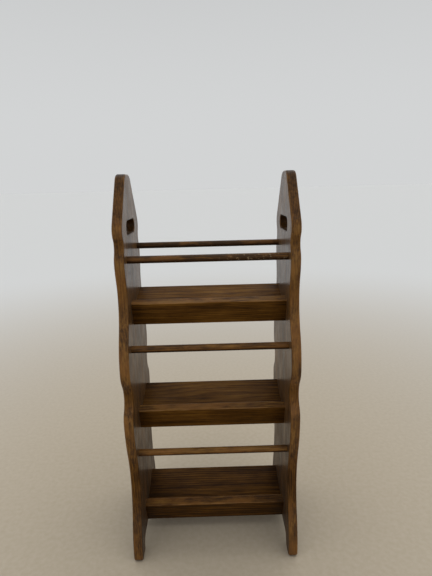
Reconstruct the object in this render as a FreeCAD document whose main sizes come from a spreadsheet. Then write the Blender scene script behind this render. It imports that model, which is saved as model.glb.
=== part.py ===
import FreeCAD, Part
import math
import os
import Sketcher

# A free-standing magazine rack in solid wood: two shaped side panels hold three tilted
# tiers, one above the other, with round rails across the front and one across the back.
# Millimetres. X runs from left to right, -Y is the front and +Z is up. The origin is on
# the floor at the middle of the rack.

os.makedirs("parts", exist_ok=True)
doc = FreeCAD.newDocument("magazine_rack")

# ------------------------------------------------------------------ driving sizes
# Each tier has a tilted frame. "Along" runs up the shelf's slope from the lower front edge
# of its lip, and "up" runs square to the slope, along the lip's face.
SIZES = [
    ("inner_width", 300, "clear width between the side panels"),
    ("panel_thickness", 18.5, "side panels"),
    ("edge_round", 3.5, "round-over on the edges of the side panels"),

    ("bottom_tier_height", 31, "floor to the lower front edge of the bottom lip"),
    ("tier_spacing", 227.3, "height from one tier to the next"),
    ("tier_front", 37, "lower front edge of a lip, in front of the centre"),
    ("tier_slope", 17, "degrees that a shelf drops towards the front"),

    ("board_thickness", 18.5, "shelves and lips"),
    ("shelf_depth", 95.5, "shelf, from its lip to its back edge"),
    ("lip_height", 48.5, "lip, up its face"),
    ("lip_drop", 3, "lip below the underside of its shelf"),
    ("board_round", 2, "round-over on the long edges of shelves and lips"),

    ("rail_diameter", 14, "front rails"),
    ("back_rail_diameter", 12.7, "back rail"),
    ("rail_socket", 10, "depth of a rail's end in a side panel"),
    ("bottom_rail_reach", 199, "bottom front rail, up from the tier"),
    ("middle_rail_reach", 194, "middle front rail, up from the tier"),
    ("top_rail_reach", 134.7, "top front rail, up from the tier"),
    ("back_rail_setback", 61, "back rail behind the centre"),
    ("back_rail_rise", 144.4, "back rail above the top tier"),

    ("foot_half_depth", 120.5, "feet at their widest, from the centre"),
    ("foot_length", 36.5, "foot, from its widest point to the arch"),
    ("toe_radius", 10, "outer corner of a foot"),
    ("heel_radius", 4, "inner corner of a foot"),
    ("arch_height", 24, "arch between the feet"),
    ("arch_radius", 14, "corners of the arch"),
    ("low_waist_half_depth", 94.5, "waist between the feet and the middle tier"),
    ("low_waist_rise", 134, "low waist above the bottom tier"),
    ("low_bulge_half_depth", 116.5, "bulge in front of the middle tier"),
    ("low_bulge_rise", 53.7, "low bulge above the middle tier"),
    ("notch_half_depth", 97, "notch between the two large bulges"),
    ("notch_rise", 99.7, "notch above the middle tier"),
    ("high_bulge_half_depth", 116, "bulge below the middle front rail"),
    ("high_bulge_rise", 154.7, "high bulge above the middle tier"),
    ("high_waist_half_depth", 82.5, "waist at the top tier"),
    ("high_waist_rise", 67.4, "high waist above the top tier"),
    ("rail_bulge_half_depth", 91.5, "bulge at the top front rail"),
    ("rail_bulge_rise", 131.4, "rail bulge above the top tier"),
    ("neck_half_depth", 81.5, "neck under the shoulder"),
    ("neck_rise", 162.4, "neck above the top tier"),
    ("shoulder_half_depth", 90, "shoulder beside the hand hole"),
    ("shoulder_rise", 187.4, "shoulder above the top tier"),
    ("shoulder_radius", 30, "turn from the shoulder into the straight taper above it"),
    ("crown_rise", 289.9, "top of the panels above the top tier"),
    ("crown_flat", 25, "level top of the crown, front to back"),
    ("crown_radius", 24, "turn from the taper into the level top"),

    ("hand_hole_length", 85, "hand hole, end to end"),
    ("hand_hole_height", 26, "hand hole, top to bottom"),
    ("hand_hole_rise", 190.5, "middle of the hand hole above the top tier"),

    ("screw_diameter", 4.2, "screw's shank"),
    ("screw_length", 38, "screw under its head"),
    ("screw_tip_length", 6, "screw's pointed end"),
    ("screw_tip_diameter", 1, "blunt end of the screw's point"),
    ("screw_head_diameter", 8, "screw's round head"),
    ("screw_head_height", 2.6, "screw's round head"),
    ("shelf_screw_inset", 24, "screws from the front and back edges of the shelf"),
    ("lip_screw_up", 35, "screw in the end of the lip, up the lip's face"),
    ("plug_diameter", 9.5, "wooden plug over a screw's head"),
    ("plug_depth", 6, "wooden plug"),

    ("pin_diameter", 8, "dowel pins between lip and shelf"),
    ("pin_length", 26, "dowel pins, half in the lip and half in the shelf"),
    ("pin_pitch", 110, "from one dowel pin to the next"),
]

sheet = doc.addObject("Spreadsheet::Sheet", "Sizes")
for row, (alias, number, note) in enumerate(SIZES, start=1):
    sheet.set("A%d" % row, alias)
    sheet.set("B%d" % row, str(number))
    sheet.set("C%d" % row, note)
    sheet.setAlias("B%d" % row, alias)
doc.recompute()


def size(alias):
    """A cell of the sheet, as it is written in an expression."""
    return "Sizes." + alias


def value(expression):
    """The number that an expression gives with the sheet's present sizes."""
    return float(sheet.evalExpression(expression))


# ------------------------------------------------------------------ shared places
TIERS = {
    "bottom": size("bottom_tier_height"),
    "middle": "(%s + %s)" % (size("bottom_tier_height"), size("tier_spacing")),
    "top": "(%s + 2 * %s)" % (size("bottom_tier_height"), size("tier_spacing")),
}
SIDES = {"left": -1, "right": 1}
FRONT_RAILS = {"bottom": "bottom_rail_reach", "middle": "middle_rail_reach", "top": "top_rail_reach"}

INNER_FACE = "%s / 2" % size("inner_width")
OUTER_FACE = "(%s / 2 + %s)" % (size("inner_width"), size("panel_thickness"))
LIP_MIDDLE = "(%s / 2)" % size("board_thickness")
SHELF_MIDDLE = "(%s + %s / 2)" % (size("lip_drop"), size("board_thickness"))


def above(tier, alias):
    """A height that the sheet gives above a tier."""
    return "%s + %s" % (TIERS[tier], size(alias))


def tilted(tier, along, up):
    """Y and Z of a point in a tier's tilted frame."""
    slope = size("tier_slope")
    y = "-%s + %s * cos(%s) - %s * sin(%s)" % (size("tier_front"), along, slope, up, slope)
    z = "%s + %s * sin(%s) + %s * cos(%s)" % (TIERS[tier], along, slope, up, slope)
    return y, z


def place(item, x, y, z, axis=(0, 0, 1), angle="0"):
    """Bind an object's place, and its turn in degrees about an axis, to expressions."""
    turn = "rotation(vector(%d; %d; %d); %s)" % (*axis, angle)
    item.setExpression("Placement", "placement(vector(%s; %s; %s); %s)" % (x, y, z, turn))


# ------------------------------------------------------------------ bodies and sketches
def new_body(name):
    return doc.addObject("PartDesign::Body", name)


def origin_plane(body, role):
    return next(item for item in body.Origin.OriginFeatures if item.Role == role)


def new_sketch(body, role, name):
    sketch = body.newObject("Sketcher::SketchObject", name)
    sketch.AttachmentSupport = (origin_plane(body, role), "")
    sketch.MapMode = "FlatFace"
    return sketch


START, END, CENTRE = 1, 2, 3
ORIGIN = (-1, 1)
VERTICAL_AXIS = -2


def at(across, up):
    return FreeCAD.Vector(across, up, 0)


class Outline:
    """Collects a sketch's edges and constraints. finish() adds the constraints in one go."""

    def __init__(self, sketch):
        self.sketch = sketch
        self.rules = []
        self.drivers = []

    def constrain(self, *arguments):
        self.rules.append(Sketcher.Constraint(*arguments))

    def bind(self, kind, *arguments):
        """Add a dimension. Its last argument is the expression that drives it."""
        *places, expression = arguments
        self.drivers.append((len(self.rules), expression))
        self.constrain(kind, *places, value(expression))

    def bind_point(self, edge, end, across, up):
        self.bind("DistanceX", *ORIGIN, edge, end, across)
        self.bind("DistanceY", *ORIGIN, edge, end, up)

    def line(self, start, end, direction=None):
        """A straight edge: its index, then its first and its last end."""
        index = self.sketch.addGeometry(Part.LineSegment(start, end))
        if direction:
            self.constrain(direction, index)
        return index, START, END

    def arc(self, start, bulge, end):
        """An arc through three points: its index, then which of its ends is first and last."""
        turns_left = (bulge - start).cross(end - start).z > 0
        if turns_left:
            return self.sketch.addGeometry(Part.Arc(start, bulge, end)), START, END
        return self.sketch.addGeometry(Part.Arc(end, bulge, start)), END, START

    def corner(self, start, centre, end, radius):
        """A quarter circle between an upright run and a level one."""
        middle = (start + end) / 2 - centre
        index, first, last = self.arc(start, centre + middle * (value(radius) / middle.Length), end)
        starts_level = abs(start.y - centre.y) < abs(end.y - centre.y)
        self.constrain("Horizontal", index, CENTRE, index, first if starts_level else last)
        self.constrain("Vertical", index, CENTRE, index, last if starts_level else first)
        self.bind("Radius", index, radius)
        return index, first, last

    def s_curve(self, low, high):
        """Two equal arcs from one station up to the next, upright at both stations."""
        rise, swing = high.y - low.y, high.x - low.x
        radius = (rise ** 2 + swing ** 2) / (4 * abs(swing))
        sag = radius - (radius ** 2 - (rise / 4) ** 2) ** 0.5
        step = at(sag if swing > 0 else -sag, rise / 4)
        middle = (low + high) / 2
        lower = self.arc(low, low + step, middle)
        upper = self.arc(middle, high - step, high)
        self.constrain("Horizontal", lower[0], CENTRE, lower[0], lower[1])
        self.constrain("Horizontal", upper[0], CENTRE, upper[0], upper[2])
        self.constrain("Tangent", lower[0], lower[2], upper[0], upper[1])
        self.constrain("Equal", lower[0], upper[0])
        return [lower, upper]

    def taper(self, low, high, low_radius, high_radius):
        """From an upright start to a level end: an arc, a straight taper and an arc."""
        near, far = value(low_radius), value(high_radius)
        low_centre, high_centre = low - at(near, 0), high - at(0, far)
        between = high_centre - low_centre
        lean = math.atan2(between.y, between.x) - math.acos((near - far) / between.Length)

        def on_arc(centre, radius, angle):
            return centre + at(radius * math.cos(angle), radius * math.sin(angle))

        start, end = on_arc(low_centre, near, lean), on_arc(high_centre, far, lean)
        lower = self.arc(low, on_arc(low_centre, near, lean / 2), start)
        straight = self.line(start, end)
        upper = self.arc(end, on_arc(high_centre, far, (lean + math.pi / 2) / 2), high)
        self.constrain("Horizontal", lower[0], CENTRE, lower[0], lower[1])
        self.constrain("Vertical", upper[0], CENTRE, upper[0], upper[2])
        self.constrain("Tangent", lower[0], lower[2], straight[0], straight[1])
        self.constrain("Tangent", straight[0], straight[2], upper[0], upper[1])
        self.bind("Radius", lower[0], low_radius)
        self.bind("Radius", upper[0], high_radius)
        return [lower, straight, upper]

    def close_loop(self, runs):
        """Join runs of edges end to end, the last to the first."""
        for run, after in zip(runs, runs[1:] + runs[:1]):
            self.constrain("Coincident", run[-1][0], run[-1][2], after[0][0], after[0][1])

    def finish(self):
        self.sketch.addConstraint(self.rules)
        for number, expression in self.drivers:
            self.sketch.setExpression("Constraints[%d]" % number, expression)


def rectangle(sketch, front, depth):
    """A rectangle across the rack's inner width that starts at a given depth."""
    half_width, near = value(INNER_FACE), value(front)
    far = near + value(depth)
    outline = Outline(sketch)
    near_edge = outline.line(at(-half_width, near), at(half_width, near), "Horizontal")
    right_edge = outline.line(at(half_width, near), at(half_width, far), "Vertical")
    far_edge = outline.line(at(half_width, far), at(-half_width, far), "Horizontal")
    left_edge = outline.line(at(-half_width, far), at(-half_width, near), "Vertical")
    outline.close_loop([[near_edge], [right_edge], [far_edge], [left_edge]])
    outline.bind("DistanceX", near_edge[0], START, near_edge[0], END, size("inner_width"))
    outline.bind("DistanceY", right_edge[0], START, right_edge[0], END, depth)
    outline.bind_point(right_edge[0], START, INNER_FACE, front)
    outline.finish()


def side_faces(shape):
    """Names of the flat faces that look along X."""
    return [
        "Face%d" % number
        for number, face in enumerate(shape.Faces, start=1)
        if face.Surface.TypeId == "Part::GeomPlane" and abs(face.normalAt(0, 0).x) > 0.99
    ]


def long_edges(shape):
    """Names of the straight edges that run along X."""
    return [
        "Edge%d" % number
        for number, edge in enumerate(shape.Edges, start=1)
        if abs((edge.lastVertex().Point - edge.firstVertex().Point).x) > 0.99 * edge.Length
    ]


def round_over(body, feature, chosen, radius):
    """Round the faces' outlines or the edges that a function chooses from a feature."""
    doc.recompute()
    fillet = body.newObject("PartDesign::Fillet", body.Name + "_rounds")
    fillet.Base = (feature, chosen(feature.Shape))
    fillet.setExpression("Radius", size(radius))


# ------------------------------------------------------------------ side panels
# The outline's widest and narrowest points, from the foot to the shoulder: half depth, height.
# Each is joined to the next by an S-curve.
STATIONS = [
    (size("foot_half_depth"), size("toe_radius")),
    (size("low_waist_half_depth"), above("bottom", "low_waist_rise")),
    (size("low_bulge_half_depth"), above("middle", "low_bulge_rise")),
    (size("notch_half_depth"), above("middle", "notch_rise")),
    (size("high_bulge_half_depth"), above("middle", "high_bulge_rise")),
    (size("high_waist_half_depth"), above("top", "high_waist_rise")),
    (size("rail_bulge_half_depth"), above("top", "rail_bulge_rise")),
    (size("neck_half_depth"), above("top", "neck_rise")),
    (size("shoulder_half_depth"), above("top", "shoulder_rise")),
]


def panel_outline(sketch):
    """The back half of a panel's outline, closed along the panel's centre line."""
    stations = [at(value(half_depth), value(height)) for half_depth, height in STATIONS]
    foot, shoulder = stations[0], stations[-1]
    toe_radius, heel_radius = value(size("toe_radius")), value(size("heel_radius"))
    arch_radius, arch_top = value(size("arch_radius")), value(size("arch_height"))
    crown_end, top = value(size("crown_flat")) / 2, value(above("top", "crown_rise"))
    arch_side = foot.x - value(size("foot_length"))
    arch_end = arch_side - arch_radius
    heel_end, toe_end = arch_side + heel_radius, foot.x - toe_radius

    outline = Outline(sketch)
    curves = [outline.s_curve(low, high) for low, high in zip(stations, stations[1:])]
    crown = outline.taper(shoulder, at(crown_end, top), size("shoulder_radius"), size("crown_radius"))
    crown_top = outline.line(at(crown_end, top), at(0, top), "Horizontal")
    centre_line = outline.line(at(0, top), at(0, arch_top), "Vertical")
    arch_line = outline.line(at(0, arch_top), at(arch_end, arch_top), "Horizontal")
    arch_corner = outline.corner(
        at(arch_end, arch_top), at(arch_end, arch_top - arch_radius),
        at(arch_side, arch_top - arch_radius), size("arch_radius"))
    arch_wall = outline.line(at(arch_side, arch_top - arch_radius), at(arch_side, heel_radius), "Vertical")
    heel_corner = outline.corner(
        at(arch_side, heel_radius), at(heel_end, heel_radius), at(heel_end, 0), size("heel_radius"))
    sole = outline.line(at(heel_end, 0), at(toe_end, 0), "Horizontal")
    toe_corner = outline.corner(at(toe_end, 0), at(toe_end, toe_radius), foot, size("toe_radius"))

    singles = [crown_top, centre_line, arch_line, arch_corner, arch_wall, heel_corner,
               sole, toe_corner]
    outline.close_loop(curves + [crown] + [[edge] for edge in singles])
    for (half_depth, height), curve in zip(STATIONS, curves):
        outline.bind_point(curve[0][0], curve[0][1], half_depth, height)
    outline.bind_point(crown[0][0], crown[0][1], *STATIONS[-1])
    outline.bind_point(crown_top[0], START, size("crown_flat") + " / 2", above("top", "crown_rise"))
    outline.constrain("PointOnObject", centre_line[0], START, VERTICAL_AXIS)
    outline.bind("DistanceY", *ORIGIN, centre_line[0], END, size("arch_height"))
    outline.bind("DistanceX", arch_wall[0], START, toe_corner[0], toe_corner[2], size("foot_length"))
    outline.finish()


def hand_hole_outline(sketch):
    """A slot with round ends, level and centred on the panel."""
    height = value(above("top", "hand_hole_rise"))
    end_radius = value(size("hand_hole_height")) / 2
    reach = value(size("hand_hole_length")) / 2 - end_radius
    top, bottom = height + end_radius, height - end_radius
    outline = Outline(sketch)
    roof = outline.line(at(-reach, top), at(reach, top), "Horizontal")
    back = outline.arc(at(reach, top), at(reach + end_radius, height), at(reach, bottom))
    floor = outline.line(at(reach, bottom), at(-reach, bottom), "Horizontal")
    front = outline.arc(at(-reach, bottom), at(-reach - end_radius, height), at(-reach, top))
    for edge, after in ((roof, back), (back, floor), (floor, front), (front, roof)):
        outline.constrain("Tangent", edge[0], edge[2], after[0], after[1])
    centres_apart = "(%s - %s)" % (size("hand_hole_length"), size("hand_hole_height"))
    outline.bind("Radius", back[0], size("hand_hole_height") + " / 2")
    outline.bind("DistanceX", front[0], CENTRE, back[0], CENTRE, centres_apart)
    outline.bind_point(back[0], CENTRE, centres_apart + " / 2", above("top", "hand_hole_rise"))
    outline.finish()


def panel_board(side):
    """One side panel before its sockets are drilled, with its inner face at the tiers' ends."""
    body = new_body(side + "_panel_board")
    outline = new_sketch(body, "YZ_Plane", side + "_outline")
    panel_outline(outline)
    half = body.newObject("PartDesign::Pad", side + "_half_panel")
    half.Profile = outline
    half.setExpression("Length", size("panel_thickness"))
    whole = body.newObject("PartDesign::Mirrored", side + "_whole_panel")
    whole.Originals = [half]
    whole.MirrorPlane = (origin_plane(body, "XZ_Plane"), [""])
    body.Tip = whole
    slot = new_sketch(body, "YZ_Plane", side + "_slot")
    hand_hole_outline(slot)
    hand_hole = body.newObject("PartDesign::Pocket", side + "_hand_hole")
    hand_hole.Profile = slot
    hand_hole.Type = "ThroughAll"
    hand_hole.Reversed = True
    round_over(body, hand_hole, side_faces, "edge_round")
    place(body, INNER_FACE if side == "right" else "-" + OUTER_FACE, "0", "0")
    return body


# ------------------------------------------------------------------ shelves and lips
def tier_board(tier, kind, front, depth, thickness, lift):
    """A board in its tier's tilted frame, across the inner width."""
    body = new_body("%s_%s_board" % (tier, kind))
    sketch = new_sketch(body, "XY_Plane", "%s_%s_outline" % (tier, kind))
    sketch.setExpression("AttachmentOffset.Base.z", lift)
    rectangle(sketch, front, depth)
    board = body.newObject("PartDesign::Pad", "%s_%s_pad" % (tier, kind))
    board.Profile = sketch
    board.setExpression("Length", thickness)
    round_over(body, board, long_edges, "board_round")
    place(body, "0", "-" + size("tier_front"), TIERS[tier], (1, 0, 0), size("tier_slope"))
    return body


def shelf_board(tier):
    return tier_board(
        tier, "shelf", size("board_thickness"), size("shelf_depth"), size("board_thickness"), size("lip_drop"))


def lip_board(tier):
    return tier_board(tier, "lip", "0", size("board_thickness"), size("lip_height"), "0")


# ------------------------------------------------------------------ round pieces
def rail(name, diameter, y, z):
    """A rail from the bottom of one panel's socket to the bottom of the other's."""
    bar = doc.addObject("Part::Cylinder", name)
    bar.setExpression("Radius", size(diameter) + " / 2")
    bar.setExpression("Height", "%s + 2 * %s" % (size("inner_width"), size("rail_socket")))
    place(bar, "-(%s + %s)" % (INNER_FACE, size("rail_socket")), y, z, (0, 1, 0), "90")
    return bar


def front_rail(tier):
    """A rail whose axis lies in the plane of its lip's inner face."""
    y, z = tilted(tier, size("board_thickness"), size(FRONT_RAILS[tier]))
    return rail(tier + "_front_rail", "rail_diameter", y, z)


def group(name, pieces):
    """Separate solids held as one object."""
    compound = doc.addObject("Part::Compound", name)
    compound.Links = pieces
    return compound


def run_inward(item, side, depth, point):
    """Lay a round piece along X: it starts a depth below a panel's outer face and runs inward."""
    sign = SIDES[side]
    place(item, "%d * (%s - (%s))" % (sign, OUTER_FACE, depth), *point, (0, 1, 0), str(-90 * sign))


def screw_points(tier):
    """Y and Z of a tier's screws on one side: two in the end of the shelf, one in the lip's."""
    front = "(%s + %s)" % (size("board_thickness"), size("shelf_screw_inset"))
    back = "(%s + %s - %s)" % (size("board_thickness"), size("shelf_depth"), size("shelf_screw_inset"))
    return [
        tilted(tier, front, SHELF_MIDDLE),
        tilted(tier, back, SHELF_MIDDLE),
        tilted(tier, LIP_MIDDLE, size("lip_screw_up")),
    ]


def screw(name, side, point):
    """A round-head wood screw below its plug: a head, a shank and a point."""
    seat = "%s + %s" % (size("plug_depth"), size("screw_head_height"))
    shank_length = "%s - %s" % (size("screw_length"), size("screw_tip_length"))
    head = doc.addObject("Part::Cylinder", name + "_head")
    head.setExpression("Radius", size("screw_head_diameter") + " / 2")
    head.setExpression("Height", size("screw_head_height"))
    run_inward(head, side, size("plug_depth"), point)
    shank = doc.addObject("Part::Cylinder", name + "_shank")
    shank.setExpression("Radius", size("screw_diameter") + " / 2")
    shank.setExpression("Height", shank_length)
    run_inward(shank, side, seat, point)
    tip = doc.addObject("Part::Cone", name + "_tip")
    tip.setExpression("Radius1", size("screw_diameter") + " / 2")
    tip.setExpression("Radius2", size("screw_tip_diameter") + " / 2")
    tip.setExpression("Height", size("screw_tip_length"))
    run_inward(tip, side, "%s + %s" % (seat, shank_length), point)
    whole = doc.addObject("Part::MultiFuse", name)
    whole.Shapes = [head, shank, tip]
    return whole


def plug(name, side, point):
    """A round wooden plug, flush with the panel's outer face."""
    disc = doc.addObject("Part::Cylinder", name)
    disc.setExpression("Radius", size("plug_diameter") + " / 2")
    disc.setExpression("Height", size("plug_depth"))
    run_inward(disc, side, "0", point)
    return disc


def fastener_group(tier, side, kind, maker):
    """The three screws or the three plugs of one tier on one side."""
    name = "%s_%s_%s" % (tier, side, kind)
    pieces = [maker("%s_%d" % (name, number), side, point)
              for number, point in enumerate(screw_points(tier), start=1)]
    return group(name, pieces)


def lip_pins(tier):
    """Three dowel pins, half in the lip and half in the front edge of the shelf."""
    start = "(%s - %s / 2)" % (size("board_thickness"), size("pin_length"))
    y, z = tilted(tier, start, SHELF_MIDDLE)
    pieces = []
    for number in (-1, 0, 1):
        pin = doc.addObject("Part::Cylinder", "%s_pin_%d" % (tier, number + 2))
        pin.setExpression("Radius", size("pin_diameter") + " / 2")
        pin.setExpression("Height", size("pin_length"))
        place(pin, "%d * %s" % (number, size("pin_pitch")), y, z, (1, 0, 0), size("tier_slope") + " - 90")
        pieces.append(pin)
    return group(tier + "_lip_pins", pieces)


def drilled(name, board, fittings):
    """A board with sockets for the rails and fasteners that go into it."""
    result = doc.addObject("Part::Cut", name)
    result.Base = board
    result.Tool = group(name + "_sockets", fittings)
    return result


# ------------------------------------------------------------------ the rack
rails = [front_rail(tier) for tier in TIERS]
rails.append(rail("top_back_rail", "back_rail_diameter", size("back_rail_setback"),
                  above("top", "back_rail_rise")))
screws = {(tier, side): fastener_group(tier, side, "screws", screw) for tier in TIERS for side in SIDES}
plugs = {(tier, side): fastener_group(tier, side, "plugs", plug) for tier in TIERS for side in SIDES}
pins = {tier: lip_pins(tier) for tier in TIERS}

nodes = rails + list(screws.values()) + list(plugs.values()) + list(pins.values())
for side in SIDES:
    fittings = rails + [screws[tier, side] for tier in TIERS] + [plugs[tier, side] for tier in TIERS]
    nodes.append(drilled(side + "_side_panel", panel_board(side), fittings))
for tier in TIERS:
    fittings = [screws[tier, side] for side in SIDES] + [pins[tier]]
    nodes.append(drilled(tier + "_shelf", shelf_board(tier), fittings))
    nodes.append(drilled(tier + "_lip", lip_board(tier), fittings))

doc.recompute()
for item in doc.Objects:
    if "Invalid" in item.State or "Error" in item.State:
        raise RuntimeError("%s did not build: %s" % (item.Name, item.State))

for node in nodes:
    node.Label = node.Name
    if node.Shape.isNull() or not node.Shape.isValid() or not node.Shape.Solids:
        raise RuntimeError("%s has no valid solid" % node.Label)
    node.Shape.exportStep("parts/%s.step" % node.Label)
    print("%-22s solids %d  volume %9.0f mm3" % (node.Label, len(node.Shape.Solids), node.Shape.Volume))
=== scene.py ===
"""Looks of a dark-stained wooden magazine rack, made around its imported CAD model.

Metres, in the model's own frame: +Z is up, -Y is the front and the origin is on the floor.
"""

import math

import bpy
from mathutils import Matrix, Vector

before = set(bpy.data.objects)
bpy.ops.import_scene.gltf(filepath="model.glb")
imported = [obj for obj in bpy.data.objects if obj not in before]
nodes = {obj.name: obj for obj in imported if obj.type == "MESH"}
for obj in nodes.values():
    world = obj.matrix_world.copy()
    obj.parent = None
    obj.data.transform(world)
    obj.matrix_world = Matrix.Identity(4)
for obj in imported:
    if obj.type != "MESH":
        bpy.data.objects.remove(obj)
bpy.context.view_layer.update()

TIERS = ("bottom", "middle", "top")
SIDES = ("left", "right")
TIER_SLOPE = math.radians(17)
HAND_HOLE_HEIGHT = 0.676
HAND_HOLE_HALF_LENGTH = 0.0425
HAND_HOLE_HALF_HEIGHT = 0.013
HAND_HOLE_MARGINS = (0.004, 0.008)  # its surroundings fade out between these, beyond its edge
LOWER_FRONT, UPPER_FRONT = -0.105, -0.0865  # about the mean depths of a panel's wavy front edge
LEFT_TO_RIGHT = (1.0, 0.0, 0.0)
BOARD_UP = (0.0, -math.sin(TIER_SLOPE), math.cos(TIER_SLOPE))  # square to the shelves


# ------------------------------------------------------------------ building materials
class Shader:
    """A new material. Each method adds a node and returns the output that it is read from."""

    def __init__(self, name):
        self.material = bpy.data.materials.new(name)
        self.material.use_nodes = True
        self.tree = self.material.node_tree
        self.tree.nodes.clear()

    def add(self, kind, inputs, **settings):
        node = self.tree.nodes.new("ShaderNode" + kind)
        for name, setting in settings.items():
            setattr(node, name, setting)
        for key, value in inputs.items():
            if isinstance(value, bpy.types.NodeSocket):
                self.tree.links.new(value, node.inputs[key])
            else:
                node.inputs[key].default_value = value
        return node

    def position(self):
        """The point in the rack's frame: every CAD node's object sits at the origin."""
        return self.add("TexCoord", {}).outputs["Object"]

    def normal(self):
        return self.add("TexCoord", {}).outputs["Normal"]

    def maths(self, operation, *values):
        return self.add("Math", dict(enumerate(values)), operation=operation).outputs[0]

    def vector(self, operation, *values):
        node = self.add("VectorMath", dict(enumerate(values)), operation=operation)
        return node.outputs["Value" if operation in ("LENGTH", "DOT_PRODUCT") else "Vector"]

    def combine(self, x, y, z):
        return self.add("CombineXYZ", {"X": x, "Y": y, "Z": z}).outputs[0]

    def separate(self, vector):
        return self.add("SeparateXYZ", {"Vector": vector}).outputs

    def noise(self, vector, detail=2.0, roughness=0.5, output="Fac"):
        inputs = {"Vector": vector, "Scale": 1.0, "Detail": detail, "Roughness": roughness}
        return self.add("TexNoise", inputs, noise_dimensions="3D").outputs[output]

    def smooth_step(self, value, low, high, start=0.0, end=1.0):
        """start below low, end above high, and a smooth turn between them."""
        inputs = {"Value": value, "From Min": low, "From Max": high, "To Min": start, "To Max": end}
        return self.add("MapRange", inputs, interpolation_type="SMOOTHSTEP").outputs["Result"]

    def ramp(self, factor, stops):
        """A colour that turns from one stop to the next. A stop is (place, colour)."""
        node = self.add("ValToRGB", {"Fac": factor})
        elements = node.color_ramp.elements
        while len(elements) < len(stops):
            elements.new(1.0)
        for element, (place, colour) in zip(elements, stops):
            element.position = place
            element.color = (*colour, 1.0)
        return node.outputs["Color"]

    def mix(self, factor, first, second):
        colours = [
            part if isinstance(part, bpy.types.NodeSocket) else (*part, 1.0)
            for part in (first, second)
        ]
        inputs = {0: factor, 6: colours[0], 7: colours[1]}  # by number, as sockets share names
        return self.add("Mix", inputs, data_type="RGBA").outputs[2]

    def bump(self, height, distance, under=None):
        """The normal over relief that rises distance metres, laid on another normal if given."""
        inputs = {"Height": height, "Distance": distance, "Strength": 0.5}
        if under is not None:
            inputs["Normal"] = under
        return self.add("Bump", inputs).outputs["Normal"]

    def finish(self, **inputs):
        """The surface. Names are Principled BSDF sockets with _ for a space."""
        sockets = {name.replace("_", " "): value for name, value in inputs.items()}
        surface = self.add("BsdfPrincipled", sockets)
        output = self.add("OutputMaterial", {})
        self.tree.links.new(surface.outputs[0], output.inputs["Surface"])
        return self.material


# ------------------------------------------------------------------ wood
# Stain from the deepest to the thinnest, then where it is worn and given a painted highlight, faded and
# given a painted sheen, chipped off or rust-brown.
DARK = (0.026, 0.0100, 0.0016)
DEEP = (0.076, 0.0300, 0.0040)
WARM = (0.142, 0.0610, 0.0090)
GOLD = (0.220, 0.1060, 0.0200)
WORN_AND_HIGHLIGHT = (0.310, 0.1600, 0.0580)
FADED_AND_SHEEN = (0.230, 0.1480, 0.0950)
BARE = (0.420, 0.3100, 0.1800)
RUST = (0.260, 0.1050, 0.0200)
STAIN = [(0.05, DARK), (0.35, DEEP), (0.65, WARM), (0.95, GOLD)]
DUST_TINT = (1.0, 0.88, 0.72, 1.0)


def along_grain(shader, grain, offset):
    """The point with the grain along its third part, moved to a piece of timber of its own."""
    x, y, z = shader.separate(shader.position())
    turned = shader.combine(y, z, x) if grain == "X" else shader.combine(x, y, z)
    return shader.vector("ADD", turned, offset)


def stretched(shader, point, across, along):
    """The point scaled for a noise: counts per metre across the grain and along it."""
    return shader.vector("MULTIPLY", point, (across, across, along))


def growth_rings(shader, point, pith, ring_width):
    """Dark at the end of each year's growth: 0 to 1, with a sharp fall after each ring.

    The rings are round the grain. pith is added to the point, so their middle is at minus pith.
    """
    wander = shader.noise(stretched(shader, point, 9.0, 2.2), detail=3.0, output="Color")
    wander = shader.vector("SUBTRACT", wander, (0.5, 0.5, 0.5))
    wander = shader.vector("MULTIPLY", wander, (0.028, 0.028, 0.0))
    moved = shader.vector("ADD", shader.vector("ADD", point, wander), pith)
    radius = shader.vector("LENGTH", shader.vector("MULTIPLY", moved, (1.0, 1.0, 0.0)))
    phase = shader.maths("FRACT", shader.maths("DIVIDE", radius, ring_width))
    late_wood = shader.smooth_step(phase, 0.25, 0.9)
    early_wood = shader.smooth_step(phase, 0.93, 1.0, 1.0, 0.0)
    return shader.maths("MULTIPLY", late_wood, early_wood)


def edge_wear_and_highlight(shader, face_normal, point):
    """Where rounded edges have lost stain, with a painted highlight along them: 1 at the middle of a
    round-over, in patches.

    face_normal is square to the board's faces, so a surface between them is a round-over.
    """
    facing = shader.vector("DOT_PRODUCT", shader.normal(), face_normal)
    squared = shader.maths("MULTIPLY", facing, facing)
    turning = shader.maths("MULTIPLY", squared, shader.maths("SUBTRACT", 1.0, squared))
    on_edge = shader.smooth_step(turning, 0.04, 0.22)
    patches = shader.noise(stretched(shader, point, 60.0, 16.0), detail=5.0, roughness=0.65)
    return shader.maths("MULTIPLY", on_edge, shader.smooth_step(patches, 0.40, 0.62))


def end_grain(shader, grain):
    """How squarely the surface cuts across the grain, where stain soaks in: 0 to 1."""
    across = (1.0, 0.0, 0.0) if grain == "X" else (0.0, 0.0, 1.0)
    facing = shader.maths("ABSOLUTE", shader.vector("DOT_PRODUCT", shader.normal(), across))
    return shader.smooth_step(facing, 0.15, 0.85)


def turned_along(shader, direction, low, high):
    """The faces that look along direction, 0 to 1: those rubbed dull and pale and given painted light,
    and undersides given painted shade.
    """
    facing = shader.vector("DOT_PRODUCT", shader.normal(), direction)
    return shader.smooth_step(facing, low, high)


def centred(shader, pattern):
    """A pattern of 0 to 1 moved to lie evenly about 0."""
    return shader.maths("SUBTRACT", pattern, 0.5)


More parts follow.
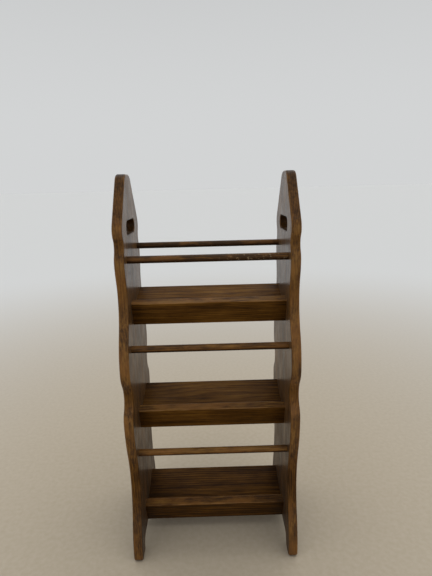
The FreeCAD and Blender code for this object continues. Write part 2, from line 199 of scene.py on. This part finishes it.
def stain_depth(shader, point, grain, tone, streaks, fibres, pores, rings):
    """How thin the stain lies, from 0, nearly black, to 1, golden."""
    bands = shader.noise(stretched(shader, point, 85.0, 2.4), detail=3.0, roughness=0.55)
    blotches = shader.noise(stretched(shader, point, 26.0, 9.0), detail=4.0, roughness=0.6)
    depth = 0.5 + tone
    for pattern, weight in ((streaks, 1.1), (bands, 0.6), (fibres, 0.65), (blotches, 0.9)):
        depth = shader.maths("MULTIPLY_ADD", centred(shader, pattern), weight, depth)
    for mark, weight in ((rings, -0.20), (pores, -0.22), (end_grain(shader, grain), -0.30)):
        depth = shader.maths("MULTIPLY_ADD", mark, weight, depth)
    return depth


def scuffed_and_lit(shader, point, rubbed_and_lit_face, depth):
    """Stain thinned and scored on a rubbed face, which also paints light on it."""
    scuffs = shader.noise(stretched(shader, point, 130.0, 24.0), detail=5.0, roughness=0.7)
    scuffs = shader.maths("MULTIPLY_ADD", centred(shader, scuffs), 2.5, 0.20)
    return shader.maths("MULTIPLY_ADD", rubbed_and_lit_face, scuffs, depth)


def faded_and_sheen(shader, point, rubbed_and_lit_face, fade_and_sheen, colour):
    """Rust-brown patches and an even greying on a rubbed face, the greying partly wear and partly a
    painted sheen.
    """
    rust = shader.noise(stretched(shader, point, 36.0, 15.0), detail=4.0, roughness=0.6)
    rust = shader.smooth_step(rust, 0.46, 0.60, 0.0, 0.45)
    colour = shader.mix(shader.maths("MULTIPLY", rubbed_and_lit_face, rust), colour, RUST)
    return shader.mix(shader.maths("MULTIPLY", rubbed_and_lit_face, fade_and_sheen), colour, FADED_AND_SHEEN)


def wood_relief(shader, point, streaks, fibres, pores):
    """Open pores and raised grain over the slow ripple that a plane leaves."""
    relief = shader.maths("MULTIPLY_ADD", pores, -1.0, shader.maths("MULTIPLY", fibres, 0.6))
    relief = shader.maths("MULTIPLY_ADD", streaks, 1.5, relief)
    normal = shader.bump(relief, 0.00022)
    ripple = shader.noise(stretched(shader, point, 70.0, 18.0), detail=2.0)
    return shader.bump(ripple, 0.0007, normal)


def stained_wood(
        name, grain, offset, pith, ring_width, tone=0.0, face_normal=None, wear_and_highlight=0.85, spared=None,
        rub_and_light=None, fade_and_sheen=0.12, darkening_and_shade=None, chipped=None, coat=0.3, lacquer=None, dust=0.0):
    """Dark walnut stain under satin lacquer, with the grain along X or Z.

    Functions give masks from 0 to 1 for faces rubbed pale and given painted light, darkening that is
    mostly painted shade, bare chips, and edges that aren't worn. lacquer is one that gives the coat's
    weight.
    grime, bare chips, and edges that aren't worn. lacquer is one that gives the coat's weight.
    """
    shader = Shader(name)
    point = along_grain(shader, grain, offset)
    rings = growth_rings(shader, point, pith, ring_width)
    streaks = shader.noise(stretched(shader, point, 330.0, 5.5), detail=4.0, roughness=0.65)
    fibres = shader.noise(stretched(shader, point, 1100.0, 22.0), detail=2.0, roughness=0.6)
    pore_noise = shader.noise(stretched(shader, point, 1500.0, 55.0), detail=1.0)
    pores = shader.smooth_step(pore_noise, 0.60, 0.72)

    depth = stain_depth(shader, point, grain, tone, streaks, fibres, pores, rings)
    # Darkening, most of it painted shade.
    if darkening_and_shade is not None:
        depth = shader.maths("SUBTRACT", depth, darkening_and_shade(shader))
    # Rubbed faces made paler and greyer: partly wear, partly painted light.
    if rub_and_light is not None:
        rubbed_and_lit_face = rub_and_light(shader)
        depth = scuffed_and_lit(shader, point, rubbed_and_lit_face, depth)
    colour = shader.ramp(depth, STAIN)
    if rub_and_light is not None:
        colour = faded_and_sheen(shader, point, rubbed_and_lit_face, fade_and_sheen, colour)
    # Worn edges, with a painted highlight along the round-overs.
    if face_normal is not None:
        worn_and_lit = shader.maths("MULTIPLY", edge_wear_and_highlight(shader, face_normal, point), wear_and_highlight)
        if spared is not None:
            worn_and_lit = shader.maths("MULTIPLY", worn_and_lit, shader.maths("SUBTRACT", 1.0, spared(shader)))
        colour = shader.mix(worn_and_lit, colour, WORN_AND_HIGHLIGHT)
    if chipped is not None:
        colour = shader.mix(chipped(shader), colour, BARE)

    gloss = shader.noise(stretched(shader, point, 34.0, 20.0), detail=3.0)
    normal = wood_relief(shader, point, streaks, fibres, pores)
    if lacquer is not None:
        coat = lacquer(shader, streaks)
    return shader.finish(
        Base_Color=colour, Roughness=shader.smooth_step(gloss, 0.3, 0.7, 0.30, 0.44),
        Specular_IOR_Level=0.05, Normal=normal,
        Coat_Weight=coat, Coat_Roughness=0.15, Coat_IOR=1.15, Coat_Normal=normal,
        Sheen_Weight=dust, Sheen_Roughness=0.4, Sheen_Tint=DUST_TINT)


# ------------------------------------------------------------------ the rack's pieces
def put(material, name):
    """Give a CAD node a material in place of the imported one."""
    node = nodes[name]
    node.data.materials.clear()
    node.data.materials.append(material)


def rubbed_and_lit_front(shader):
    """The panels' front edges, most where they stand out, and not in the hand holes: rubbed pale, and
    given painted light where they face the room.
    """
    depth, height = shader.separate(shader.position())[1:3]
    middle = shader.smooth_step(height, 0.40, 0.52, LOWER_FRONT, UPPER_FRONT)
    stands_out = shader.smooth_step(shader.maths("SUBTRACT", middle, depth), -0.012, 0.006, 0.25, 1.0)
    outside = shader.maths("SUBTRACT", 1.0, in_hand_hole(shader))
    front = turned_along(shader, (0.0, -1.0, 0.0), 0.25, 0.75)
    return shader.maths("MULTIPLY", shader.maths("MULTIPLY", outside, front), stands_out)


def rubbed_and_lit_top(shader):
    """The top edge of a lip, rubbed pale and given painted light as it faces up."""
    return turned_along(shader, BOARD_UP, 0.5, 0.9)


def at_hand_hole(shader):
    """1 within a few millimetres of a panel's hand hole."""
    depth, height = shader.separate(shader.position())[1:3]
    spans = ((depth, 0.0, HAND_HOLE_HALF_LENGTH), (height, HAND_HOLE_HEIGHT, HAND_HOLE_HALF_HEIGHT))
    near = 1.0
    for part, middle, half in spans:
        away = shader.maths("ABSOLUTE", shader.maths("SUBTRACT", part, middle))
        start, end = (half + margin for margin in HAND_HOLE_MARGINS)
        near = shader.maths("MULTIPLY", near, shader.smooth_step(away, start, end, 1.0, 0.0))
    return near


def in_hand_hole(shader):
    """1 on the inside of a panel's hand hole, 0 on the faces around it."""
    side_on = shader.vector("DOT_PRODUCT", shader.normal(), LEFT_TO_RIGHT)
    inside = shader.smooth_step(shader.maths("ABSOLUTE", side_on), 0.5, 0.9, 1.0, 0.0)
    return shader.maths("MULTIPLY", inside, at_hand_hole(shader))


def panel_shade_and_darkening(shader):
    """Darker in the upper half of a hand hole, and painted shade growing towards the floor."""
    height = shader.separate(shader.position())[2]
    # Painted shade, growing towards the floor.
    low = shader.smooth_step(height, 0.0, 0.36, 0.24, 0.0)
    upper_hole_darkening = shader.smooth_step(height, HAND_HOLE_HEIGHT - 0.014, HAND_HOLE_HEIGHT + 0.004, 0.10, 0.50)
    return shader.maths("MULTIPLY_ADD", in_hand_hole(shader), upper_hole_darkening, low)


def panel_lacquer(shader, streaks):
    """Lacquer lies in streaks along the grain, full near the top and worn thin near the floor."""
    height = shader.separate(shader.position())[2]
    amount = shader.smooth_step(height, 0.05, 0.72, 0.10, 0.62)
    return shader.maths("MULTIPLY", amount, shader.smooth_step(streaks, 0.35, 0.62, 0.55, 1.25))


def painted_shade_at_panels(shader):
    """Painted shade where shelves and lips meet the panels."""
    across = shader.maths("ABSOLUTE", shader.separate(shader.position())[0])
    return shader.smooth_step(across, 0.118, 0.150, 0.0, 0.16)


def finish_panels():
    for number, side in enumerate(SIDES):
        material = stained_wood(
            "panel_wood_" + side, "Z", offset=(0.31 * number, 0.0, 1.7 * number),
            pith=(-0.31 * number, 0.02, 0.0), ring_width=0.0042, face_normal=LEFT_TO_RIGHT, wear_and_highlight=0.35,
            spared=at_hand_hole, rub_and_light=rubbed_and_lit_front, fade_and_sheen=0.16, darkening_and_shade=panel_shade_and_darkening,
            lacquer=panel_lacquer, dust=0.04)
        put(material, side + "_side_panel")


def finish_tiers():
    # The bottom tier's darker tone is painted shade from the tiers above it.
    tones = {"bottom": -0.14, "middle": 0.03, "top": 0.04}
    for number, (tier, tone) in enumerate(tones.items()):
        shelf = stained_wood(
            "shelf_wood_" + tier, "X", offset=(0.0, 0.37 * number, 0.9 * number),
            pith=(0.02, 0.06, 0.0), ring_width=0.0038, tone=tone + 0.07, face_normal=BOARD_UP,
            darkening_and_shade=painted_shade_at_panels, coat=0.03)
        put(shelf, tier + "_shelf")
        lip = stained_wood(
            "lip_wood_" + tier, "X", offset=(0.11, 0.29 * number, 1.3 * number),
            pith=(0.05, 0.03, 0.0), ring_width=0.0035, tone=tone - 0.03, face_normal=BOARD_UP,
            rub_and_light=rubbed_and_lit_top, darkening_and_shade=painted_shade_at_panels, coat=0.2)
        put(lip, tier + "_lip")


def rubbed_and_lit_rail(shader):
    """The upper front of a rail, rubbed pale and given a painted highlight."""
    return turned_along(shader, (0.0, -0.6, 0.8), 0.1, 0.8)


def painted_underside_shade(shader):
    """Painted shade along the underside."""
    return shader.maths("MULTIPLY", turned_along(shader, (0.0, 0.0, -1.0), 0.0, 0.7), 0.35)


def rail_chips(shader):
    """Specks of bare wood where magazines have knocked the right half of the rail."""
    across = shader.separate(shader.position())[0]
    knocked = shader.smooth_step(across, 0.0, 0.06)
    specks = shader.noise(shader.vector("MULTIPLY", shader.position(), (260.0, 420.0, 420.0)), detail=2.0)
    return shader.maths("MULTIPLY", knocked, shader.smooth_step(specks, 0.61, 0.70, 0.0, 0.6))


def finish_rails():
    tones = {"bottom_front_rail": 0.00, "middle_front_rail": -0.16, "top_front_rail": -0.40,
             "top_back_rail": -0.58}
    for number, (name, tone) in enumerate(tones.items()):
        material = stained_wood(
            "wood_" + name, "X", offset=(0.5 + 0.2 * number, 0.0, 0.7 * number),
            pith=(0.03, 0.02, 0.0), ring_width=0.0030, tone=tone, rub_and_light=rubbed_and_lit_rail,
            darkening_and_shade=painted_underside_shade, chipped=rail_chips if name == "top_front_rail" else None, coat=0.5)
        put(material, name)


def screw_steel():
    """Zinc-plated steel with fine turning marks round each screw."""
    shader = Shader("screw_steel")
    point = shader.position()
    marks = shader.noise(shader.vector("MULTIPLY", point, (9000.0, 500.0, 500.0)), detail=2.0)
    colour = shader.ramp(marks, [(0.3, (0.42, 0.41, 0.38)), (0.7, (0.66, 0.65, 0.61))])
    return shader.finish(
        Base_Color=colour, Metallic=1.0, Roughness=shader.smooth_step(marks, 0.2, 0.8, 0.28, 0.46),
        Normal=shader.bump(marks, 0.00003))


def finish_fastenings():
    pith, ring_width = (0.01, 0.01, 0.0), 0.0016
    plug = stained_wood("plug_wood", "X", (0.9, 0.4, 0.0), pith, ring_width, tone=-0.02)
    pin = stained_wood("pin_wood", "X", (1.9, 0.4, 0.0), pith, ring_width, tone=0.4)
    steel = screw_steel()
    for tier in TIERS:
        put(pin, tier + "_lip_pins")
        for side in SIDES:
            put(plug, "%s_%s_plugs" % (tier, side))
            put(steel, "%s_%s_screws" % (tier, side))


# ------------------------------------------------------------------ floor, light, camera
def make_floor():
    """A pale floor with painted shade round the rack: darker beige near it and as light as the room far
    from it.
    """
    half = 60.0
    mesh = bpy.data.meshes.new("studio_floor")
    corners = [(-half, -half, 0.0), (half, -half, 0.0), (half, half, 0.0), (-half, half, 0.0)]
    mesh.from_pydata(corners, [], [(0, 1, 2, 3)])
    floor = bpy.data.objects.new("studio_floor", mesh)
    bpy.context.scene.collection.objects.link(floor)
    shader = Shader("pale_floor")
    # Painted shade: the floor darkens towards the rack.
    away_from_painted_shade = shader.smooth_step(shader.vector("LENGTH", shader.position()), 0.2, 3.2)
    speckle = shader.noise(shader.vector("MULTIPLY", shader.position(), (90.0, 90.0, 90.0)), detail=4.0)
    shaded_beige = shader.ramp(speckle, [(0.3, (0.46, 0.39, 0.29)), (0.7, (0.50, 0.43, 0.33))])
    pale_grey = (0.715, 0.72, 0.715)
    colour = shader.mix(away_from_painted_shade, shaded_beige, pale_grey)
    mesh.materials.append(shader.finish(Base_Color=colour, Roughness=0.7, Specular_IOR_Level=0.2))


def make_world():
    """A pale room, lightest at the height of the eye, so that the floor runs into it."""
    world = bpy.data.worlds.new("studio")
    bpy.context.scene.world = world
    world.use_nodes = True
    tree = world.node_tree
    direction = tree.nodes.new("ShaderNodeTexCoord").outputs["Generated"]
    parts = tree.nodes.new("ShaderNodeSeparateXYZ")
    tree.links.new(direction, parts.inputs[0])
    bright = tree.nodes.new("ShaderNodeMapRange")
    bright.interpolation_type = "SMOOTHSTEP"
    bright.inputs["From Min"].default_value = 0.1
    bright.inputs["From Max"].default_value = 0.9
    bright.inputs["To Min"].default_value = 0.67
    bright.inputs["To Max"].default_value = 0.45
    tree.links.new(parts.outputs["Z"], bright.inputs["Value"])
    background = tree.nodes["Background"]
    background.inputs["Color"].default_value = (0.965, 0.98, 0.985, 1.0)
    tree.links.new(bright.outputs["Result"], background.inputs["Strength"])


def make_lights():
    """One very soft lamp overhead, as even as a ceiling of panels."""
    lamp = bpy.data.lights.new("ceiling", "SUN")
    lamp.energy = 1.3
    lamp.angle = math.radians(80)
    light = bpy.data.objects.new("ceiling", lamp)
    light.rotation_euler = (math.radians(-6), math.radians(5), 0.0)
    bpy.context.scene.collection.objects.link(light)


def make_camera():
    """Below the top of the rack and under a metre in front of it, looking a little down.

    The place and the angles were fitted to the photo with the height and the lens assumed.
    """
    place = (0.00583, -0.8561, 0.755)
    pitch, yaw, roll = math.radians(-13.616), math.radians(0.581), math.radians(1.391)
    forward = Vector((math.sin(yaw) * math.cos(pitch), math.cos(yaw) * math.cos(pitch), math.sin(pitch)))
    level_right = Vector((math.cos(yaw), -math.sin(yaw), 0.0))
    level_up = level_right.cross(forward)
    right = level_right * math.cos(roll) - level_up * math.sin(roll)
    up = level_up * math.cos(roll) + level_right * math.sin(roll)
    data = bpy.data.cameras.new("camera")
    data.lens, data.sensor_width = 27.06, 36.0
    camera = bpy.data.objects.new("camera", data)
    turn = Matrix((right, up, -forward)).transposed().to_4x4()
    camera.matrix_world = Matrix.Translation(place) @ turn
    bpy.context.scene.collection.objects.link(camera)
    bpy.context.scene.camera = camera


finish_panels()
finish_tiers()
finish_rails()
finish_fastenings()
make_floor()
make_world()
make_lights()
make_camera()
bpy.context.scene.view_settings.view_transform = "Standard"
